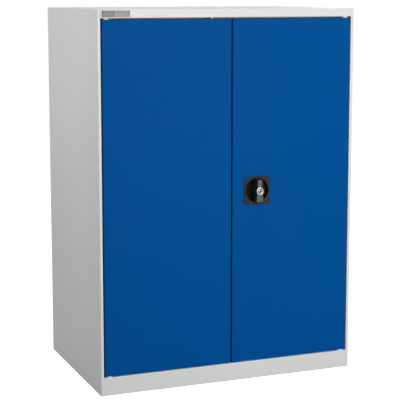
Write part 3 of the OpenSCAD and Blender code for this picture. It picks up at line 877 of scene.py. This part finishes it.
    def half_width(self, z: float) -> float:
        """Give the grip's half width at a height, in millimetres.

        Args:
            z: The height above the handle's axis.

        Returns:
            Half the grip's width there.
        """
        share = (z + self.grip_reach) / (2 * self.grip_reach)
        width = (self.grip_foot + (self.grip_top - self.grip_foot) * share) / 2
        if abs(z) < self.collar:
            width = max(width, math.sqrt(self.collar**2 - z**2))
        into = max(0.0, abs(z) - (self.grip_reach - self.grip_end)) / self.grip_end
        fall = 1 - math.sqrt(max(0.0, 1 - self.grip_end_fullness * into**2))
        return width - fall * self.grip_end * self.grip_end_draw

    def make_grip(self) -> Piece:
        """Model the grip, which widens round the lock cylinder and has soft edges.

        Returns:
            The finished grip.
        """
        bench, half, reach = self.bench, self.grip_foot / 2, self.grip_reach
        grip = bench.block(
            "handle_grip_moulding",
            self.at(-half, self.grip_front, -reach), self.at(half, self.grip_back, reach),
        )
        bench.bevel(grip, bench.rim(FRONT, self.level(self.grip_front)), self.grip_edge)
        tips = [reach - step for step in self.grip_end_slices]
        for level in sorted({*self.grip_waist_slices, *tips, *(-tip for tip in tips)}):
            bench.slice(grip, self.at(0, 0, level), (0, 0, 1))
        heights = {round(corner.co.z, HEIGHT_DIGITS) for corner in grip.data.vertices}
        for height in sorted(heights):
            factor = self.half_width((height - self.axis.z) / MM) / half
            with bench.editing(grip, "VERT") as mesh:
                for corner in mesh.verts:
                    corner.select_set(abs(corner.co.z - height) < SAME_HEIGHT)
                mesh.select_flush(True)
                bmesh.update_edit_mesh(grip.data)
                bpy.ops.transform.resize(value=(factor, 1, 1), center_override=self.axis)
        start, sides = self.grip_back - self.overlap, self.small_sides
        bench.weld(grip, self.bar("hub", self.hub_radius, start, self.bowl_back, sides))
        hole = self.barrel_radius + self.play
        bench.cut(grip, self.bar("barrel_hole", hole, self.bore_front, self.barrel_back, sides))
        side = self.socket_half + self.play
        low, high = self.at(-side, self.socket_front, -side), self.at(side, self.socket_back, side)
        bench.cut(grip, bench.block("socket", low, high))
        return grip

    def make_cylinder(self) -> Piece:
        """Model the lock cylinder: a bright ring with a dished face, and the barrel behind it.

        Returns:
            The finished cylinder.
        """
        bench, front, sides = self.bench, self.ring_front, self.small_sides
        ring = self.bar(
            "lock_ring_and_barrel", self.ring_radius, front, self.grip_front, self.round_sides
        )
        start = self.grip_front - self.barrel_overlap
        bench.weld(ring, self.bar("barrel", self.barrel_radius, start, self.barrel_back, sides))
        bore = self.plug_radius + self.play
        bench.cut(ring, self.bar("bore", bore, self.bore_front, 0, sides))
        outer = self.circle(front, self.ring_radius, self.ring_slack)
        inner = self.circle(front, self.plug_radius, self.ring_slack)
        bench.bevel(ring, outer, self.ring_edge)
        bench.bevel(ring, inner, self.ring_dish)
        return ring

    def make_plug(self) -> Piece:
        """Model the turning plug with its keyway.

        Returns:
            The finished plug.
        """
        bench, start = self.bench, self.ring_front + self.plug_sunk
        plug = self.bar(
            "lock_core_with_keyway", self.plug_radius, start, self.plug_back, self.small_sides
        )
        bench.bevel(plug, bench.rim(FRONT, self.level(start)), self.plug_edge)
        wide, high, deep = self.key_slot
        half, before, bottom = wide / 2, start - self.overlap, start + deep
        slot = bench.block(
            "keyway", self.at(-half, before, -high / 2), self.at(half, bottom, high / 2)
        )
        bench.cut(plug, slot)
        ward = bench.block(
            "ward",
            self.at(half - self.ward_overlap, before, self.ward_low),
            self.at(half + self.ward_width, bottom, self.ward_high),
        )
        bench.cut(plug, ward)
        return plug

    def build(self) -> None:
        """Find the handle's axis and make its four pieces."""
        low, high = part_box("handle_plate")
        front = low.y + self.plate_thickness * MM
        self.axis = Vector(((low.x + high.x) / 2, front, (low.z + high.z) / 2))
        plate = self.make_plate()
        # The plate's second finish is painted shade inside the finger bowl.
        finishes = Paint.HANDLE, Paint.BOWL
        self.deliver(plate, "right_door", "handle_black", ["handle_plate"], *finishes)
        self.paint_bowl_shade(plate)
        # The grip's lighter finish is partly painted light.
        self.deliver(self.make_grip(), "handle", "handle_black", ["handle_grip"], Paint.GRIP)
        # The ring's finish carries a painted dark reflection.
        self.deliver(self.make_cylinder(), "handle", "chrome", ["lock_cylinder"], Paint.CHROME)
        # The plug's finish is painted shade.
        self.deliver(self.make_plug(), "key_plug", "chrome", ["lock_plug"], Paint.LOCK_CORE)


@dataclass
class LabelPlate(SubAssembly):
    """Bare plate at the left end of the top rail, with a slim rim round two plain fields.

    Sizes are in millimetres.
    """

    corner: Rounding = Rounding(1.2, 5)
    edge: Rounding = Rounding(0.2, 2)
    rim: float = 0.9
    sunk: float = 0.35
    dark_share: float = 0.46

    def build(self) -> None:
        """Make the plate where its solid lies."""
        low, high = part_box("label_plate")
        plate = self.bench.block("bare_label_plate", low, high)
        self.bench.bevel(plate, self.bench.along(Axis.Y), self.corner)
        with self.bench.editing(plate, "FACE") as mesh:
            for face in mesh.faces:
                face.select_set(face.normal.dot(FRONT) > FACING)
            bmesh.update_edit_mesh(plate.data)
            bpy.ops.mesh.inset(thickness=self.rim * MM, depth=0)
            bpy.ops.mesh.inset(thickness=self.sunk * MM, depth=-self.sunk * MM)
        split = low.x + (high.x - low.x) * self.dark_share
        self.bench.slice(plate, Vector((split, low.y, low.z)), (1, 0, 0))
        self.bench.bevel(plate, self.bench.rim(FRONT, -low.y), self.edge)
        finishes = Paint.LABEL_DARK, Paint.LABEL_GREY
        self.deliver(plate, "cabinet", "label_dark", ["label_plate"], *finishes)
        for face in plate.data.polygons:
            face.material_index = int(face.center.x > split)


@dataclass
class DoorFittings(SubAssembly):
    """Rubber buffers that the doors close on, and the nylon catch over the left door.

    Sizes are in millimetres.
    """

    buffer_radius: float = 4.5
    buffer_dome: Rounding = Rounding(1.4, 5)
    buffer_sides: int = 40
    inner_at: float = 40.0
    catch_height: float = 2.8
    catch_corner: Rounding = Rounding(1.0, 3)
    catch_edge: Rounding = Rounding(0.7, 3)
    peg_radius: float = 2.5
    peg_overlap: float = 1.0
    peg_sides: int = 32

    def make_buffers(self) -> Piece:
        """Model one domed buffer and copy it to its eight places.

        Returns:
            The eight buffers as one piece.
        """
        low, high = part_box("door_buffers")
        radius, inner = self.buffer_radius * MM, self.inner_at * MM
        outer = high.x - radius
        bottom, top = low.z + radius, high.z - radius
        first = Vector((-outer, low.y, bottom))
        length = high.y - low.y
        buffer = self.bench.rod(
            "rubber_door_buffers", first, radius, (0.0, length), self.buffer_sides
        )
        self.bench.bevel(buffer, self.bench.rim(FRONT, -low.y), self.buffer_dome)
        columns = (-outer, -inner, inner, outer)
        places = [Vector((x, low.y, z)) for x in columns for z in (bottom, top)]
        offsets = [place - first for place in places]
        self.bench.spread(buffer, [offset for offset in offsets if offset.length > SAME_PLACE])
        return buffer

    def make_catch(self) -> Piece:
        """Model the catch: a nylon pad with eased edges, held by a peg through the rail.

        Returns:
            The finished catch.
        """
        low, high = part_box("door_catch")
        top = low.z + self.catch_height * MM
        pad = self.bench.block("nylon_door_catch", low, Vector((high.x, high.y, top)))
        self.bench.bevel(pad, self.bench.along(Axis.Z), self.catch_corner)
        self.bench.bevel(pad, self.bench.rim(DOWN, -low.z), self.catch_edge)
        middle = Vector(((low.x + high.x) / 2, (low.y + high.y) / 2, top))
        ends = -self.peg_overlap * MM, high.z - top
        radius = self.peg_radius * MM
        self.bench.weld(pad, self.bench.rod("peg", middle, radius, ends, self.peg_sides, Axis.Z))
        return pad

    def build(self) -> None:
        """Make the buffers and the catch."""
        buffers = self.make_buffers()
        self.deliver(buffers, "cabinet", "rubber_black", ["door_buffers"], Paint.RUBBER)
        self.deliver(self.make_catch(), "cabinet", "nylon_white", ["door_catch"], Paint.NYLON)


@dataclass
class CaseScrews(SubAssembly):
    """Four screws that hold the lock case and its cover on the handle plate's bosses.

    Sizes are in millimetres. The recess has its width, its length and its depth, and the
    shank starts inside the head, at a share of the head's height.
    """

    head_radius: float = 3.5
    head_height: float = 2.2
    head_edge: Rounding = Rounding(1.0, 4)
    head_sides: int = 40
    shank_radius: float = 2.0
    shank_share: float = 0.6
    shank_sides: int = 24
    recess: Triple = (0.8, 3.8, 1.2)
    recess_overlap: float = 1.0

    def make_screw(self, place: Vector, tip: float) -> Piece:
        """Model one screw with a cross recess.

        Args:
            place: The middle of the head's end, in metres.
            tip: Where the shank ends, from the head's end.

        Returns:
            The finished screw.
        """
        head = self.head_height * MM
        screw = self.bench.rod(
            "lock_case_screws", place, self.head_radius * MM, (-head, 0.0), self.head_sides
        )
        self.bench.bevel(screw, self.bench.rim(BACK, place.y), self.head_edge)
        wide, long, deep = (size * MM for size in self.recess)
        past = Vector((0, self.recess_overlap * MM, 0))
        for across, up in ((wide, long), (long, wide)):
            size = Vector((across / 2, 0.0, up / 2))
            low, high = place - size - Vector((0, deep, 0)), place + size + past
            self.bench.cut(screw, self.bench.block("recess", low, high))
        ends = tip, -head * self.shank_share
        shank = self.bench.rod("shank", place, self.shank_radius * MM, ends, self.shank_sides)
        self.bench.weld(screw, shank)
        return screw

    def build(self) -> None:
        """Make one screw and copy it to the four corners."""
        low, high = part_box("lock_screws")
        radius, end = self.head_radius * MM, high.y
        first = Vector((low.x + radius, end, low.z + radius))
        last = Vector((high.x - radius, end, high.z - radius))
        screw = self.make_screw(first, low.y - end)
        across, up = Vector((last.x - first.x, 0, 0)), Vector((0, 0, last.z - first.z))
        self.bench.spread(screw, [across, up, across + up])
        self.deliver(screw, "right_door", "zinc_steel", ["lock_screws"], Paint.ZINC)


class Carcass:
    """The sheet-metal and lock pieces that are shown as they are, each with its finish."""

    PAINTS: dict[str, Paint] = {
        "body_grey": Paint.BODY,
        "door_blue": Paint.DOOR,
        "handle_black": Paint.HANDLE,
        "zinc_steel": Paint.ZINC,
        "chrome": Paint.CHROME,
        "nylon_white": Paint.NYLON,
        "rubber_black": Paint.RUBBER,
        "label_dark": Paint.LABEL_DARK,
    }

    def __init__(self, frame: dict, shop: PaintShop) -> None:
        """Keep the frame's pieces and the paint shop.

        Args:
            frame: The loaded frame, with its nodes and its record.
            shop: Where the finishes come from.
        """
        self.nodes: dict[str, Piece] = frame["nodes"]
        self.slots = {part["node"]: part["material_slot"] for part in frame["record"]["subparts"]}
        self.shop = shop

    def dress(self) -> None:
        """Give every solid the finish of its slot."""
        for name, node in self.nodes.items():
            self.shop.coat(node, self.PAINTS[self.slots[name]])
            LOG.info("dressed %s", name)


# ---------------------------------------------------------------------------
# Studio
# ---------------------------------------------------------------------------


@dataclass(frozen=True)
class Softbox:
    """A square lamp that looks at one point. Sizes are in metres, its power is in watts."""

    name: str
    place: Triple
    target: Triple
    width: float
    power: float

    def build(self) -> None:
        """Hang the lamp."""
        lamp = bpy.data.lights.new(self.name, "AREA")
        lamp.shape, lamp.size, lamp.energy = "SQUARE", self.width, self.power
        holder = bpy.data.objects.new(self.name, lamp)
        bpy.context.scene.collection.objects.link(holder)
        holder.location = self.place
        way = Vector(self.target) - Vector(self.place)
        holder.rotation_euler = way.to_track_quat("-Z", "Y").to_euler()


@dataclass(frozen=True)
class PhotoCamera:
    """The camera at the photograph's viewing angle.

    The place is in metres, turn and tilt are in degrees, focal and picture in the picture's
    own pixels, the sensor is in millimetres, and the shift is a share of the picture.
    """

    place: Triple = (-1.2887, -3.2307, 1.0414)
    turn: float = -21.813
    tilt: float = 8.0
    focal: float = 1248.2
    picture: float = 400.0
    sensor: float = 36.0
    shift: float = -0.08

    def build(self) -> None:
        """Set up the camera."""
        camera = bpy.data.cameras.new("photo_camera")
        camera.sensor_width = self.sensor
        camera.lens = self.focal * self.sensor / self.picture
        camera.shift_y = self.shift
        holder = bpy.data.objects.new("photo_camera", camera)
        bpy.context.scene.collection.objects.link(holder)
        holder.location = self.place
        holder.rotation_euler = (math.radians(90 - self.tilt), 0, math.radians(self.turn))
        bpy.context.scene.camera = holder


@dataclass(frozen=True)
class Studio:
    """Pale floor, pale surroundings and soft lamps."""

    floor_size: float = 60.0
    floor_level: float = -0.0005
    floor_roughness: float = 0.9
    floor_seen: Triple = (0.80, 0.80, 0.80)
    floor_bounce: Triple = (0.12, 0.12, 0.12)
    floor_glow: float = 0.84
    zenith: float = 0.25
    horizon: float = 0.09
    lamps: tuple[Softbox, ...] = (
        Softbox("key_softbox", (0.05, -2.8, 1.8), (0.0, 0.0, 0.7), 1.0, 34.0),
        Softbox("fill_softbox", (0.6, -2.5, 0.7), (0.05, 0.0, 0.3), 0.9, 27.0),
        Softbox("side_softbox", (-1.40, 0.0, 1.08), (-0.36, 0.0, 0.98), 0.6, 7.0),
        Softbox("rear_softbox", (1.9, 1.6, 1.5), (0.2, 0.1, 0.6), 1.2, 22.0),
        Softbox("top_softbox", (0.2, -0.1, 3.2), (0.0, 0.0, 1.0), 1.4, 16.0),
    )

    def _is_seen(self, tree: bpy.types.NodeTree) -> Socket:
        """Tell the rays that the camera sees from those that only light the object.

        Args:
            tree: The node tree that asks.

        Returns:
            1 for rays from the camera, from gloss and through glass, and 0 for the rest.
        """
        rays = tree.nodes.new("ShaderNodeLightPath")
        total = rays.outputs["Is Camera Ray"]
        for name in ("Is Glossy Ray", "Is Transmission Ray"):
            add = tree.nodes.new("ShaderNodeMath")
            add.operation, add.use_clamp = "ADD", True
            tree.links.new(total, add.inputs[0])
            tree.links.new(rays.outputs[name], add.inputs[1])
            total = add.outputs[0]
        return total

    def make_floor(self) -> None:
        """Lay the floor, white to the eye apart from shadows, and darker in what it reflects."""
        bpy.ops.object.select_all(action="DESELECT")
        bpy.ops.mesh.primitive_plane_add(size=self.floor_size, location=(0, 0, self.floor_level))
        floor = bpy.context.active_object
        floor.name = "studio_floor"
        material = bpy.data.materials.new("studio_floor_white")
        material.use_nodes = True
        tree = material.node_tree
        shader = tree.nodes["Principled BSDF"]
        shader.inputs["Roughness"].default_value = self.floor_roughness
        shader.inputs["Specular IOR Level"].default_value = 0.0
        mix = tree.nodes.new("ShaderNodeMix")
        mix.data_type = "RGBA"
        mix.inputs["A"].default_value = (*self.floor_bounce, 1.0)
        mix.inputs["B"].default_value = (*self.floor_seen, 1.0)
        seen = self._is_seen(tree)
        tree.links.new(seen, mix.inputs["Factor"])
        tree.links.new(mix.outputs["Result"], shader.inputs["Base Color"])
        glow = tree.nodes.new("ShaderNodeMath")
        glow.operation = "MULTIPLY"
        glow.inputs[1].default_value = self.floor_glow
        tree.links.new(seen, glow.inputs[0])
        shader.inputs["Emission Color"].default_value = WHITE
        tree.links.new(glow.outputs[0], shader.inputs["Emission Strength"])
        floor.data.materials.append(material)

    def make_sky(self) -> None:
        """Light the object from all round, more from above, before a white background."""
        world = bpy.data.worlds.new("studio_light")
        world.use_nodes = True
        tree = world.node_tree
        ground = tree.nodes["Background"]
        place = tree.nodes.new("ShaderNodeTexCoord")
        split = tree.nodes.new("ShaderNodeSeparateXYZ")
        tree.links.new(place.outputs["Generated"], split.inputs["Vector"])
        level = tree.nodes.new("ShaderNodeMapRange")
        numbers = {"From Min": 0.0, "From Max": 1.0, "To Min": self.horizon, "To Max": self.zenith}
        for name, number in numbers.items():
            level.inputs[name].default_value = number
        tree.links.new(split.outputs["Z"], level.inputs["Value"])
        pick = tree.nodes.new("ShaderNodeMix")
        pick.inputs["B"].default_value = 1.0
        tree.links.new(self._is_seen(tree), pick.inputs["Factor"])
        tree.links.new(level.outputs["Result"], pick.inputs["A"])
        ground.inputs["Color"].default_value = WHITE
        tree.links.new(pick.outputs["Result"], ground.inputs["Strength"])
        bpy.context.scene.world = world

    def build(self) -> None:
        """Set up the floor, the sky, the lamps and plain colours."""
        self.make_floor()
        self.make_sky()
        for lamp in self.lamps:
            lamp.build()
        bpy.context.scene.view_settings.view_transform = "Standard"
        LOG.info("studio ready with %d lamps", len(self.lamps))


def main() -> None:
    """Load the frame, set up the studio, make the pieces in order and keep their sizes."""
    logging.basicConfig(level=logging.INFO, format="%(name)s: %(message)s")
    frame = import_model()
    PhotoCamera().build()
    Studio().build()
    bench, shop = Bench(), PaintShop()
    Carcass(frame, shop).dress()
    for assembly in (TurningHandle, LabelPlate, DoorFittings, CaseScrews):
        assembly(bench, shop).build()
    bench.clear()


if __name__ == "__main__":
    main()
